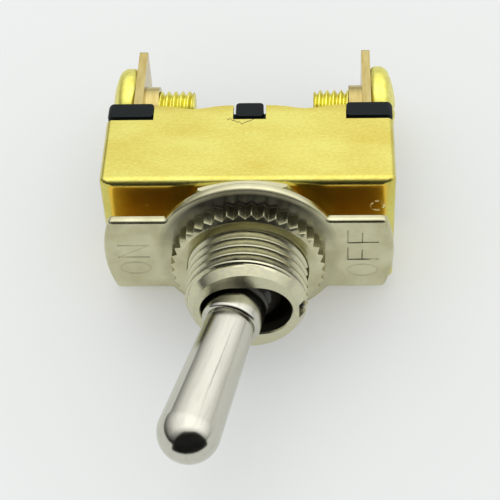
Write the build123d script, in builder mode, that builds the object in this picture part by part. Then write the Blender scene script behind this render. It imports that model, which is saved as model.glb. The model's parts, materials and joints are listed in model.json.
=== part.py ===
from build123d import *
import os
from math import asin, cos, degrees, radians, sin, sqrt, tan

# Panel-mounted toggle switch, two positions, screw terminals. Millimetres.
# The bushing's axis lies along Y: the lever points to -Y, the terminals to +Y.
# The origin is on that axis, at the front face of the case. +X is the OFF side.

# Case, drawn from sheet and crimped over the base
case_length = 29.0
case_width = 14.5
case_depth = 11.3
sheet = 0.6
case_bend = 0.8
case_corner = 0.65
notch_depth = 2.0
end_notch = 4.75
mid_notch = 3.3
tab_lip = 2.1
tab_bend = 0.9
tab_corner = 0.9

# Fits
seat_fit = 0.05
running_fit = 0.05
press_fit = 0.01
moving_clearance = 0.35

# Bushing and its thread
thread_radius = 5.95
thread_engaged_radius = 5.6
bushing_length = 10.45
bushing_chamfer = 0.8
bushing_lead = 1.15
mouth_wall = 1.3
mouth_side_clearance = 0.4
mouth_edge_break = 0.12
flange_length = 18.0
flange_fit = 0.1
flange = 1.2
flange_corner = 1.2
key_width = 1.8
key_depth = 0.9

# Nuts and legend plate on the bushing
hex_across_flats = 14.6
hex_thickness = 2.2
hex_turn = 3.0
hex_edge_break = 0.45
plate_thickness = 0.9
plate_disc_radius = 9.25
plate_tab_reach = 14.34
plate_tab_width = 9.7
plate_tab_corner = 0.6
plate_inner_corner = 0.5
plate_edge_break = 0.25
knurled_radius = 7.6
knurled_thickness = 2.1
knurl_teeth = 40
knurl_depth = 0.42
knurled_bevel = 0.65
knurled_bevel_length = 0.35
knurled_bore_chamfer = 0.35

# Lever: distances along its own axis from the pivot, forwards positive
throw = 29.0
pivot_depth = 6.3
neck_radius = 2.88
shoulder_at = 6.0
shoulder_chamfer = 0.35
groove_radius = 2.2
groove_width = 0.3
handle_root_radius = 2.42
handle_tip_radius = 2.94
handle_end = 21.84
ball_clearance = 0.8
tail_length = 8.6
tail_radius = 2.2
spring_hole_depth = 7.1
pin_radius = 0.8
pin_bite = 0.45

# Plunger and its spring
plunger_radius = 1.4
plunger_grip = 2.2
plunger_tip_gap = 0.1
spring_wire_radius = 0.17
spring_radius = 1.15
spring_turns = 6
spring_wire_sides = 6

# Rocker and contacts
rocker_tilt = 8.0
rocker_width = 7.0
rocker_overhang = 1.3
rocker_blade = 0.8
rocker_drop = 1.35
dish_half = 3.6
dish_depth = 1.0
hub_half = 1.3
hub_lip = 0.15
fulcrum_nose = 0.6
fulcrum_length = 4.2
contact_spacing = 0.4
contact_radius = 1.4
contact_head = 0.6
contact_dome = 0.2
contact_shank = 0.7
contact_tail = 0.3
contact_gap = 0.05

# Base, moulded tray
base_wall = 1.3
base_floor = 1.3
base_fit = 0.1
base_corner = 0.6
mid_lug = 2.8
mid_lug_depth = 1.6
lug_round = 0.4
stop_rib = 0.8
stop_length = 1.5
liner = 0.5
liner_fit = 0.2

# Terminals and their screws
strip = 0.92
strip_width = 8.0
strip_bend = 0.3
strip_end = 23.6
strip_corner = 0.4
foot_width = 4.6
foot_shoulder = 0.88
left_foot_reach = 1.6
right_foot_overhang = 1.8
screw_at = 18.4
screw_radius = 2.0
screw_length = 6.1
screw_point = 0.4
head_radius = 4.5
head_height = 2.7
head_rim = 1.2
boss_radius = 2.5
boss_length = 1.4
rivet_clearance = 0.08
rivet_radius = 0.6
rivet_head_radius = 1.1
rivet_head = 0.5

# Places that follow from the sizes above
wall_end = case_depth - notch_depth
base_back = case_depth - sheet
floor_y = base_back - base_floor
foot_y = floor_y - strip
fixed_contact_y = foot_y - contact_head
flange_back = sheet + flange
rim_y = flange_back + liner
stack_front = hex_thickness + plate_thickness + knurled_thickness
base_length = case_length - 2 * sheet - 2 * base_fit
base_width = case_width - 2 * sheet - 2 * base_fit
flange_width = case_width - 2 * (case_bend + flange_fit)
end_lug_x = case_length / 2 - end_notch / 2
tab_width = case_length / 2 - end_notch - mid_notch / 2
tab_x = (mid_notch + tab_width) / 2
strip_outer_x = base_length / 2 - base_wall
strip_x = strip_outer_x - strip / 2
strip_inner_x = strip_outer_x - strip
foot_shoulder_at = strip_inner_x - foot_shoulder
screw_end_x = strip_outer_x - screw_length
rivet_at = strip_inner_x - rivet_clearance - rivet_head_radius
contact_at = rivet_at - rivet_head_radius - contact_spacing - contact_radius
right_foot_reach = contact_at - right_foot_overhang
rocker_half_length = contact_at + rocker_overhang

lean = radians(throw / 2)
mouth_reach = (bushing_length - pivot_depth) * tan(lean) + neck_radius / cos(lean)
mouth_length = 2 * (mouth_reach + moving_clearance)
mouth_width = 2 * (neck_radius + mouth_side_clearance)
tail_reach = (pivot_depth + flange_back) * tan(lean) + tail_radius / cos(lean)
bore_radius = tail_reach + moving_clearance
bore_front = bushing_length - mouth_wall
ball_radius = bore_radius - ball_clearance
pin_half = bore_radius + pin_bite
spring_hole_radius = plunger_radius + running_fit
spring_hole_bottom = tail_length - spring_hole_depth
plunger_back = tail_length - plunger_grip

tilt = radians(rocker_tilt)
rocker_top = (
    fixed_contact_y
    - contact_gap
    - rocker_drop * (1 - cos(tilt))
    - contact_at * sin(tilt)
    - (rocker_blade + contact_head - dish_depth) * cos(tilt)
)
rocker_axis_y = rocker_top + rocker_drop
plunger_reach = rocker_top - plunger_tip_gap + pivot_depth - plunger_radius
arm_front = -rocker_drop - dish_depth
arm_back = arm_front + rocker_blade
hub_mouth = fulcrum_nose + running_fit + hub_lip * tan(tilt)
stop_y = rocker_axis_y + rocker_half_length * sin(tilt) + arm_back * cos(tilt) + contact_gap

lever_plane = Plane(
    origin=(0, -pivot_depth, 0), x_dir=(-cos(lean), sin(lean), 0), z_dir=(0, 0, 1)
)
lever_axis = Axis(lever_plane.origin, lever_plane.y_dir)
rocker_plane = Plane(
    origin=(0, rocker_axis_y, 0), x_dir=(cos(tilt), sin(tilt), 0), z_dir=(0, 0, 1)
)

os.makedirs("parts", exist_ok=True)


def at_depth(y):
    """The plane square to the bushing's axis at this Y, facing the lever."""
    return Plane.XZ.offset(-y)


def cap(base_radius, height):
    """Radius and half angle, in degrees, of the round cap of this height over a circle."""
    radius = (base_radius**2 + height**2) / (2 * height)
    return radius, degrees(asin(base_radius / radius))


def save(builder, name):
    """Label a finished piece and write it."""
    builder.part.label = name
    export_step(builder.part, f"parts/{name}.step")


# Case: drawn shell, open at the back, with crimp tabs folded over the base
with BuildPart() as case:
    with BuildSketch(at_depth(wall_end)):
        RectangleRounded(case_length, case_width, case_corner)
    extrude(amount=wall_end)
    fillet(case.faces().sort_by(Axis.Y)[0].edges(), case_bend)
    offset(amount=-sheet, openings=case.faces().sort_by(Axis.Y)[-1])
    with BuildSketch(at_depth(sheet)):
        Circle(thread_engaged_radius + seat_fit)
    extrude(amount=sheet, mode=Mode.SUBTRACT)
    for side in (1, -1):
        outer = side * case_width / 2
        inner = outer - side * sheet
        bend_z = outer - side * tab_bend
        lip_z = outer - side * tab_lip
        knee = tab_bend * sin(radians(45))
        inner_knee = (tab_bend - sheet) * sin(radians(45))
        for x in (-tab_x, tab_x):
            with BuildSketch(Plane.YZ.offset(x)):
                with BuildLine():
                    Line((wall_end, outer), (case_depth - tab_bend, outer))
                    ThreePointArc(
                        (case_depth - tab_bend, outer),
                        (case_depth - tab_bend + knee, bend_z + side * knee),
                        (case_depth, bend_z),
                    )
                    Polyline(
                        (case_depth, bend_z),
                        (case_depth, lip_z),
                        (base_back, lip_z),
                        (base_back, bend_z),
                    )
                    ThreePointArc(
                        (base_back, bend_z),
                        (case_depth - tab_bend + inner_knee, bend_z + side * inner_knee),
                        (case_depth - tab_bend, inner),
                    )
                    Polyline(
                        (case_depth - tab_bend, inner),
                        (wall_end, inner),
                        (wall_end, outer),
                    )
                make_face()
            extrude(amount=tab_width / 2, both=True)
    lip_corners = case.edges().filter_by(Axis.Y).filter_by(lambda e: e.center().Y > base_back)
    fillet(lip_corners, tab_corner)
save(case, "case")

# Lugs: bars with rounded corners that fill the case's notches, trimmed to its outline
with BuildPart() as lugs:
    lug_height = notch_depth - seat_fit
    lug_y = case_depth - lug_height / 2
    with BuildSketch(Plane.XY):
        with Locations((-end_lug_x, lug_y), (end_lug_x, lug_y)):
            RectangleRounded(end_notch - 2 * seat_fit, lug_height, lug_round)
    extrude(amount=case_width / 2, both=True)
    with BuildSketch(Plane.XY.offset(case_width / 2), Plane.XY.offset(mid_lug_depth - case_width / 2)):
        with Locations((0, lug_y)):
            RectangleRounded(mid_lug, lug_height, lug_round)
    extrude(amount=-mid_lug_depth)
    with BuildSketch(at_depth(case_depth)):
        RectangleRounded(case_length, case_width, case_corner)
    extrude(amount=notch_depth, mode=Mode.INTERSECT)

# Base: moulded tray, its lugs flush with the case in the case's notches
with BuildPart() as base:
    with BuildSketch(at_depth(base_back)):
        RectangleRounded(base_length, base_width, base_corner)
    extrude(amount=base_back - rim_y)
    chamfer(base.faces().sort_by(Axis.Y)[-1].edges().filter_by(Axis.X), tab_bend - sheet)
    add(lugs.part)
    with BuildSketch(at_depth(floor_y)):
        RectangleRounded(base_length - 2 * base_wall, base_width - 2 * base_wall, base_corner)
    extrude(amount=floor_y - rim_y, mode=Mode.SUBTRACT)
    with BuildSketch(at_depth(floor_y)):
        with GridLocations(0, foot_width + 2 * seat_fit + stop_rib + 2 * moving_clearance, 1, 2):
            with Locations((stop_length / 2 - rocker_half_length, 0)):
                Rectangle(stop_length, stop_rib)
    extrude(amount=floor_y - stop_y)
    with BuildSketch(at_depth(case_depth)):
        with Locations((-strip_x, 0), (strip_x, 0)):
            Rectangle(strip + 2 * seat_fit, strip_width + 2 * seat_fit)
        with Locations((-rivet_at, 0), (rivet_at, 0)):
            Circle(rivet_radius + seat_fit)
    extrude(amount=case_depth - floor_y, mode=Mode.SUBTRACT)
save(base, "base")

# Insulating liner: fibre sheet between the bushing's flange and the base's rim
with BuildPart() as insulating_liner:
    with BuildSketch(at_depth(rim_y)):
        RectangleRounded(base_length - 2 * liner_fit, base_width - 2 * liner_fit, base_corner)
        SlotOverall(
            2 * (tail_reach + liner * tan(lean) + moving_clearance),
            2 * (tail_radius + moving_clearance),
            mode=Mode.SUBTRACT,
        )
    extrude(amount=liner)
save(insulating_liner, "insulating_liner")

# Bushing: keyed thread in front of a flange, oblong mouth, slots for the pivot pin.
# The thread stands at its major radius where it is free, and at the radius where
# it meets the nuts' threads behind.
with BuildPart() as bushing:
    with BuildSketch(at_depth(flange_back)):
        RectangleRounded(flange_length, flange_width, flange_corner)
    extrude(amount=flange)
    with BuildSketch(Plane.XY):
        with BuildLine():
            Polyline(
                (0, sheet),
                (thread_engaged_radius, sheet),
                (thread_engaged_radius, -stack_front),
                (thread_radius, -stack_front),
                (thread_radius, bushing_lead - bushing_length),
                (thread_radius - bushing_chamfer, -bushing_length),
                (0, -bushing_length),
                close=True,
            )
        make_face()
    revolve(axis=Axis.Y)
    with BuildSketch(at_depth(flange_back)):
        Circle(bore_radius)
    extrude(amount=flange_back + bore_front, mode=Mode.SUBTRACT)
    with BuildSketch(at_depth(-bore_front)):
        SlotOverall(mouth_length, mouth_width)
    extrude(amount=mouth_wall, mode=Mode.SUBTRACT)
    mouth_rim = bushing.faces().sort_by(Axis.Y)[0].inner_wires()[0]
    chamfer(mouth_rim.edges(), mouth_edge_break)
    with BuildSketch(Plane.XY):
        with Locations((0, (flange_back - pivot_depth) / 2)):
            Rectangle(2 * (pin_radius + running_fit), flange_back + pivot_depth)
        with Locations((0, -pivot_depth)):
            Circle(pin_radius + running_fit)
    extrude(amount=pin_half + running_fit, both=True, mode=Mode.SUBTRACT)
    with BuildSketch(Plane.XZ):
        with Locations((thread_radius - key_depth / 2, 0)):
            Rectangle(key_depth, key_width)
    extrude(amount=bushing_length, mode=Mode.SUBTRACT)
save(bushing, "bushing")

# Hex nut: stands on the case's front face, corners chamfered on both sides
with BuildPart() as hex_nut:
    with BuildSketch(Plane.XZ):
        RegularPolygon(hex_across_flats / 2, 6, major_radius=False, rotation=hex_turn)
        Circle(thread_engaged_radius + seat_fit, mode=Mode.SUBTRACT)
    extrude(amount=hex_thickness)
    with BuildSketch(Plane.XY):
        with BuildLine():
            Polyline(
                (0, 0),
                (hex_across_flats / 2, 0),
                (hex_across_flats / 2 + 2 * hex_edge_break, -hex_edge_break),
                (hex_across_flats / 2 + 2 * hex_edge_break, hex_edge_break - hex_thickness),
                (hex_across_flats / 2, -hex_thickness),
                (0, -hex_thickness),
                close=True,
            )
        make_face()
    revolve(axis=Axis.Y, mode=Mode.INTERSECT)
save(hex_nut, "hex_nut")

# Legend plate: stamped disc with two tabs, keyed to the bushing
with BuildPart() as legend_plate:
    with BuildSketch(at_depth(-hex_thickness)) as plate_outline:
        Circle(plate_tab_reach)
        Rectangle(2 * plate_tab_reach, plate_tab_width, mode=Mode.INTERSECT)
        fillet(plate_outline.vertices(), plate_tab_corner)
        Circle(plate_disc_radius)
        fillet(
            plate_outline.vertices().filter_by(lambda v: abs(v.X) < plate_disc_radius),
            plate_inner_corner,
        )
    extrude(amount=plate_thickness)
    chamfer(legend_plate.faces().sort_by(Axis.Y)[0].edges(), plate_edge_break)
    with BuildSketch(at_depth(-hex_thickness)):
        Circle(thread_radius + seat_fit)
        with Locations((thread_radius, 0)):
            Rectangle(2 * (key_depth - 2 * seat_fit), key_width - 2 * seat_fit, mode=Mode.SUBTRACT)
    extrude(amount=plate_thickness, mode=Mode.SUBTRACT)
save(legend_plate, "legend_plate")

# Knurled face nut: straight V teeth, the front edge bevelled past their roots
with BuildPart() as knurled_nut:
    plate_front = hex_thickness + plate_thickness
    half_tooth = knurled_radius * tan(radians(180 / knurl_teeth))
    with BuildSketch(at_depth(-plate_front)):
        Circle(knurled_radius)
        with PolarLocations(knurled_radius, knurl_teeth):
            Polygon(
                (-knurl_depth, 0),
                (knurl_depth, 2 * half_tooth),
                (knurl_depth, -2 * half_tooth),
                align=None,
                mode=Mode.SUBTRACT,
            )
        Circle(thread_engaged_radius + seat_fit, mode=Mode.SUBTRACT)
    extrude(amount=knurled_thickness)
    with BuildSketch(Plane.XY):
        with BuildLine():
            Polyline(
                (thread_engaged_radius, -plate_front),
                (knurled_radius, -plate_front),
                (knurled_radius, knurled_bevel_length - stack_front),
                (knurled_radius - knurled_bevel, -stack_front),
                (thread_engaged_radius + seat_fit + knurled_bore_chamfer, -stack_front),
                (thread_engaged_radius, knurled_bore_chamfer + seat_fit - stack_front),
                close=True,
            )
        make_face()
    revolve(axis=Axis.Y, mode=Mode.INTERSECT)
save(knurled_nut, "knurled_nut")

# Lever: turned in one piece, leaning to the ON side
with BuildPart() as lever:
    tip_centre = handle_end - handle_tip_radius
    tail_join = -sqrt(ball_radius**2 - tail_radius**2)
    neck_join = sqrt(ball_radius**2 - neck_radius**2)
    with BuildSketch(lever_plane):
        with BuildLine():
            Polyline(
                (0, -spring_hole_bottom),
                (spring_hole_radius, -spring_hole_bottom),
                (spring_hole_radius, -tail_length),
                (tail_radius, -tail_length),
                (tail_radius, tail_join),
            )
            ThreePointArc((tail_radius, tail_join), (ball_radius, 0), (neck_radius, neck_join))
            Polyline(
                (neck_radius, neck_join),
                (neck_radius, shoulder_at - shoulder_chamfer),
                (neck_radius - shoulder_chamfer, shoulder_at),
                (groove_radius, shoulder_at),
                (groove_radius, shoulder_at + groove_width),
                (handle_root_radius, shoulder_at + groove_width),
                (handle_tip_radius, tip_centre),
            )
            CenterArc((0, tip_centre), handle_tip_radius, 0, 90)
            Line((0, handle_end), (0, -spring_hole_bottom))
        make_face()
    revolve(axis=lever_axis)
    with BuildSketch(Plane.XY):
        with Locations((0, -pivot_depth)):
            Circle(pin_radius + press_fit)
    extrude(amount=ball_radius, both=True, mode=Mode.SUBTRACT)
save(lever, "lever")

# Pivot pin: pressed through the ball, its ends turning in the bushing's slots
with BuildPart() as pivot_pin:
    with BuildSketch(Plane.XY):
        with Locations((0, -pivot_depth)):
            Circle(pin_radius)
    extrude(amount=pin_half, both=True)
save(pivot_pin, "pivot_pin")

# Plunger: insulating pin with a domed tip, sliding in the lever's tail
with BuildPart() as plunger:
    with BuildSketch(lever_plane):
        with BuildLine():
            Polyline(
                (0, -plunger_back),
                (plunger_radius, -plunger_back),
                (plunger_radius, -plunger_reach),
            )
            CenterArc((0, -plunger_reach), plunger_radius, -90, 90)
            Line((0, -plunger_reach - plunger_radius), (0, -plunger_back))
        make_face()
    revolve(axis=lever_axis)
save(plunger, "plunger")

# Plunger spring: fine wire, its round section drawn as a hexagon, wound between
# the hole's end and the plunger
spring_room = plunger_back - spring_hole_bottom
spring_height = spring_room - 2 * spring_wire_radius - 2 * seat_fit
spring_start = lever_plane.from_local_coords(
    Vector(0, -spring_hole_bottom - spring_wire_radius - seat_fit, 0)
)
with BuildPart() as plunger_spring:
    with BuildLine() as coil:
        Helix(
            pitch=spring_height / spring_turns,
            height=spring_height,
            radius=spring_radius,
            center=spring_start,
            direction=-lever_plane.y_dir,
        )
    with BuildSketch(Plane(origin=coil.line @ 0, z_dir=coil.line % 0)):
        RegularPolygon(spring_wire_radius, spring_wire_sides)
    sweep(path=coil.line, is_frenet=True)
save(plunger_spring, "plunger_spring")

# Rocker: see-saw blade, dished in the middle under the plunger, rocking on the fulcrum
with BuildPart() as rocker:
    with BuildSketch(rocker_plane):
        with BuildLine():
            ThreePointArc((-dish_half, arm_front), (0, -rocker_drop), (dish_half, arm_front))
            Polyline(
                (dish_half, arm_front),
                (rocker_half_length, arm_front),
                (rocker_half_length, arm_back),
                (dish_half, arm_back),
            )
            ThreePointArc(
                (dish_half, arm_back), (0, rocker_blade - rocker_drop), (-dish_half, arm_back)
            )
            Polyline(
                (-dish_half, arm_back),
                (-rocker_half_length, arm_back),
                (-rocker_half_length, arm_front),
                (-dish_half, arm_front),
            )
        make_face()
        with Locations((0, (hub_lip - rocker_drop + rocker_blade / 2) / 2)):
            Rectangle(2 * hub_half, hub_lip + rocker_drop - rocker_blade / 2)
        Circle(fulcrum_nose + running_fit, mode=Mode.SUBTRACT)
        with Locations((0, hub_lip)):
            Rectangle(2 * hub_mouth, 2 * hub_lip, mode=Mode.SUBTRACT)
    extrude(amount=rocker_width / 2, both=True)
    with BuildSketch(Plane(rocker_plane.location * Location((contact_at, 0, 0), (90, 0, 0)))):
        Circle(contact_shank + press_fit)
    extrude(amount=2 * (rocker_drop + dish_depth), both=True, mode=Mode.SUBTRACT)
save(rocker, "rocker")

# Moving contact: domed silver rivet in the rocker's arm
with BuildPart() as moving_contact:
    with BuildSketch(rocker_plane):
        with BuildLine():
            Polyline(
                (contact_at, arm_front - contact_tail),
                (contact_at + contact_shank + contact_tail, arm_front - contact_tail),
                (contact_at + contact_shank + contact_tail, arm_front),
                (contact_at + contact_shank, arm_front),
                (contact_at + contact_shank, arm_back),
                (contact_at + contact_radius, arm_back),
                (contact_at + contact_radius, arm_back + contact_head - contact_dome),
            )
            dome_radius, dome_half = cap(contact_radius, contact_dome)
            CenterArc(
                (contact_at, arm_back + contact_head - dome_radius),
                dome_radius,
                90 - dome_half,
                dome_half,
            )
            Line((contact_at, arm_back + contact_head), (contact_at, arm_front - contact_tail))
        make_face()
    contact_origin = rocker_plane.from_local_coords(Vector(contact_at, 0, 0))
    revolve(axis=Axis(contact_origin, rocker_plane.y_dir))
save(moving_contact, "moving_contact")

# Fixed contact: flat silver rivet in the right terminal's foot
with BuildPart() as fixed_contact:
    with BuildSketch(at_depth(foot_y)):
        with Locations((contact_at, 0)):
            Circle(contact_radius)
    extrude(amount=contact_head)
    with BuildSketch(at_depth(floor_y)):
        with Locations((contact_at, 0)):
            Circle(contact_shank)
    extrude(amount=strip)
save(fixed_contact, "fixed_contact")


def terminal(side, foot_reach):
    """Brass strip: a foot on the base's floor, bent out through the base, with a tapped boss for the screw."""
    with BuildPart() as strip_part:
        with BuildSketch(Plane.XY) as profile:
            with BuildLine():
                Polyline(
                    (side * foot_reach, foot_y),
                    (side * strip_outer_x, foot_y),
                    (side * strip_outer_x, strip_end),
                    (side * strip_inner_x, strip_end),
                    (side * strip_inner_x, floor_y),
                    (side * foot_reach, floor_y),
                    close=True,
                )
            make_face()
            knee = profile.vertices().filter_by(
                lambda v: abs(v.Y - foot_y) < seat_fit and abs(abs(v.X) - strip_outer_x) < seat_fit
            )
            fillet(knee, strip_bend)
        extrude(amount=strip_width / 2, both=True)
        end_corners = strip_part.edges().filter_by(Axis.X).group_by(Axis.Y)[-1]
        fillet(end_corners, strip_corner)
        with BuildSketch(at_depth(floor_y)):
            with GridLocations(0, strip_width, 1, 2):
                with Locations((side * (foot_shoulder_at + foot_reach) / 2, 0)):
                    Rectangle(abs(foot_shoulder_at - foot_reach), strip_width - foot_width)
        extrude(amount=strip, mode=Mode.SUBTRACT)
        with BuildSketch(at_depth(floor_y)):
            with Locations((side * rivet_at, 0)):
                Circle(rivet_radius + press_fit)
        extrude(amount=strip, mode=Mode.SUBTRACT)
        with BuildSketch(Plane.YZ.offset(side * strip_inner_x)):
            with Locations((screw_at, 0)):
                Circle(boss_radius)
        extrude(amount=-side * boss_length)
        with BuildSketch(Plane.YZ.offset(side * strip_outer_x)):
            with Locations((screw_at, 0)):
                Circle(screw_radius + press_fit)
        extrude(amount=-side * (strip + boss_length), mode=Mode.SUBTRACT)
    return strip_part


# Left terminal: common, its foot reaching past the middle to carry the fulcrum
left_terminal = terminal(-1, -left_foot_reach)
with BuildPart() as left_slotted:
    add(left_terminal.part)
    with BuildSketch(at_depth(floor_y)):
        Rectangle(2 * (fulcrum_nose + press_fit), fulcrum_length + 2 * press_fit)
    extrude(amount=strip, mode=Mode.SUBTRACT)
save(left_slotted, "left_terminal")

# Right terminal: switched, carrying the fixed contact
right_terminal = terminal(1, right_foot_reach)
with BuildPart() as right_drilled:
    add(right_terminal.part)
    with BuildSketch(at_depth(floor_y)):
        with Locations((contact_at, 0)):
            Circle(contact_shank + press_fit)
    extrude(amount=strip, mode=Mode.SUBTRACT)
save(right_drilled, "right_terminal")

# Fulcrum: round-nosed bar staked upright in the left terminal's foot
with BuildPart() as fulcrum:
    with BuildSketch(Plane.XY):
        with Locations((0, rocker_axis_y)):
            Circle(fulcrum_nose)
        with Locations((0, (rocker_axis_y + floor_y) / 2)):
            Rectangle(2 * fulcrum_nose, floor_y - rocker_axis_y)
    extrude(amount=fulcrum_length / 2, both=True)
save(fulcrum, "fulcrum")

# Terminal rivets: hold the two feet to the base's floor
with BuildPart() as terminal_rivets:
    rivet_back = case_depth + rivet_head
    for x in (-rivet_at, rivet_at):
        with BuildSketch(at_depth(rivet_back)):
            with Locations((x, 0)):
                Circle(rivet_radius)
        extrude(amount=rivet_back - foot_y)
        with BuildSketch(at_depth(foot_y), at_depth(rivet_back)):
            with Locations((x, 0)):
                Circle(rivet_head_radius)
        extrude(amount=rivet_head)
save(terminal_rivets, "terminal_rivets")


def terminal_screw(side):
    """Pan-head screw through the strip and its boss, pointing inwards."""
    with BuildPart() as screw:
        crown = strip_outer_x + head_height
        with BuildSketch(Plane.XY):
            with BuildLine():
                Polyline(
                    (side * crown, screw_at),
                    (side * screw_end_x, screw_at),
                    (side * screw_end_x, screw_at + screw_radius - screw_point),
                    (side * (screw_end_x + screw_point), screw_at + screw_radius),
                    (side * strip_outer_x, screw_at + screw_radius),
                    (side * strip_outer_x, screw_at + head_radius),
                    (side * (strip_outer_x + head_rim), screw_at + head_radius),
                )
                dome_radius, dome_half = cap(head_radius, head_height - head_rim)
                CenterArc(
                    (side * (crown - dome_radius), screw_at),
                    dome_radius,
                    90 - side * 90,
                    side * dome_half,
                )
            make_face()
        revolve(axis=Axis((0, screw_at, 0), (1, 0, 0)))
    return screw


left_terminal_screw = terminal_screw(-1)
save(left_terminal_screw, "left_terminal_screw")
right_terminal_screw = terminal_screw(1)
save(right_terminal_screw, "right_terminal_screw")
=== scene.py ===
import json
from math import atan2, cos, degrees, exp, hypot, pi, radians, sin, sqrt
from types import SimpleNamespace

import bmesh
import bpy
from bpy.props import FloatProperty, FloatVectorProperty, IntProperty, PointerProperty
from mathutils import Matrix, Vector


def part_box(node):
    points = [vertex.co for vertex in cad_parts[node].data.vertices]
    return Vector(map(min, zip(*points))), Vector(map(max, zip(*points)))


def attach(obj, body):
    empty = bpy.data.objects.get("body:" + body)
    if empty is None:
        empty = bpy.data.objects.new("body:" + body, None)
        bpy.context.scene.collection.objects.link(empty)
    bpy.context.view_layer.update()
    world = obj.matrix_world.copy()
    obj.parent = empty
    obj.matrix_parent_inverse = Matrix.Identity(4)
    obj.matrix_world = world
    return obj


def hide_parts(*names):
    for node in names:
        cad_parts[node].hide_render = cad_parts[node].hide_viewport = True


bl_info = {
    "name": "Toggle light switch",
    "version": (1, 0, 0),
    "blender": (4, 5, 0),
    "location": "3D View > Sidebar > Switch",
    "description": "Dresses a packed toggle switch with its finished pieces and a plain studio",
    "category": "Object",
}

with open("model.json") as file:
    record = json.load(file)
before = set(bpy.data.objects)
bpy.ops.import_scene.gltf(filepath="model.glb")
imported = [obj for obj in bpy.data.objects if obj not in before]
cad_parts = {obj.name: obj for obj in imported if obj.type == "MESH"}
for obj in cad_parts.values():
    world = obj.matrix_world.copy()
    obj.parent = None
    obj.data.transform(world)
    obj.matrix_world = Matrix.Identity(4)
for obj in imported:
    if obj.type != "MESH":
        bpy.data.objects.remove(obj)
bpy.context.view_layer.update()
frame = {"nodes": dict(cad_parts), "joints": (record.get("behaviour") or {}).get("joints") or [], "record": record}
MM = 0.001
TAB_CUTS = 8
BEND_STEPS = 8
CORNER_STEPS = 8
# Loops in one plane are set this far apart, for a bridge to find its direction
HAIR = 0.002
# Points this close to a plane or an end count as on it
TOUCH = 0.01
# Shares of a thread's pitch: the flat at each side of its root, a flank, and the bushing's shift along Y
ROOT_FLAT = 0.06
FLANK = 0.36
THREAD_PHASE = 0.58
# On the cone at a thread's end: the share that stays plain, and the share on which the thread rises
PLAIN_CONE = 0.72
RISING_CONE = 0.18
SLOT_TURN = radians(65)
HEX_TURN = radians(33)
# Each stamped word, the X of its letters' feet and the Z where it starts
WORDS = (("ON", -9.88, -2.6), ("OFF", 12.78, -3.05))
# The middle bar of an F, as shares of the letter: its height, and how much shorter it is
BAR_HEIGHT = 0.52
BAR_SHORT = 0.2
# Marks of use, in millimetres apart from the slope: a crack, a pit and a flake in the case's plate, which
# lie within its outer skin, and a scratch along the lever
CRACK_X = -0.75
CRACK_Y = 7.65
CRACK_SLOPE = 0.58
CRACK_WANDER = 1.1
CRACK_REACH = 1.5
CRACK_WIDTH = 0.11
SKIN = 0.25
PIT = (-10.0, 0.0, 4.0)
PIT_RADIUS = 0.2
FLAKE = (12.75, 0.0, 3.75)
FLAKE_RADIUS = 0.62
FLAKE_EDGE = 0.2
SCRATCH_X = 2.4
SCRATCH_Y = -18.5
SCRATCH_REACH = 6.0
SCRATCH_WIDTH = 0.1
# The dark cloth and half the floor's side, in millimetres
CLOTH_RADIUS = 45
CLOTH_HEIGHT = 38
CLOTH_SPAN = 23
FLOOR_HALF = 1500
# The camera: its angles, its place along its own axes in millimetres, and its focal length in pixels
CAMERA_ELEVATION = radians(47.13)
CAMERA_AZIMUTH = radians(3.97)
CAMERA_ROLL = radians(-3.18)
CAMERA_RIGHT = 0.05
CAMERA_UP = -1.76
CAMERA_AWAY = 154.89
FOCAL_PIXELS = 1543.34
PICTURE_PIXELS = 500
NODES = frame["nodes"]
BODY = {node: body for body, nodes in frame["record"]["behaviour"]["bodies"].items() for node in nodes}
LEVER_JOINT = next(joint for joint in frame["joints"] if joint["name"] == "lever_pivot")


def linear(code):
    """An sRGB hex colour as linear RGBA."""
    parts = [int(code[i : i + 2], 16) / 255 for i in (1, 3, 5)]
    return [c / 12.92 if c <= 0.04045 else ((c + 0.055) / 1.055) ** 2.4 for c in parts] + [1.0]


def box_mm(node):
    """A node's lowest and highest corners, in millimetres."""
    low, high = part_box(node)
    return low / MM, high / MM


def length(name, value, description):
    """A length property, given in millimetres."""
    return FloatProperty(name=name, description=description, default=value * MM, unit="LENGTH", precision=5)


def colour(name, code, description):
    """A colour property, given as an sRGB hex value."""
    tone = linear(code)
    return FloatVectorProperty(name=name, description=description, default=tone, size=4, subtype="COLOR")


# Sizes and colours that a user would change


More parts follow.
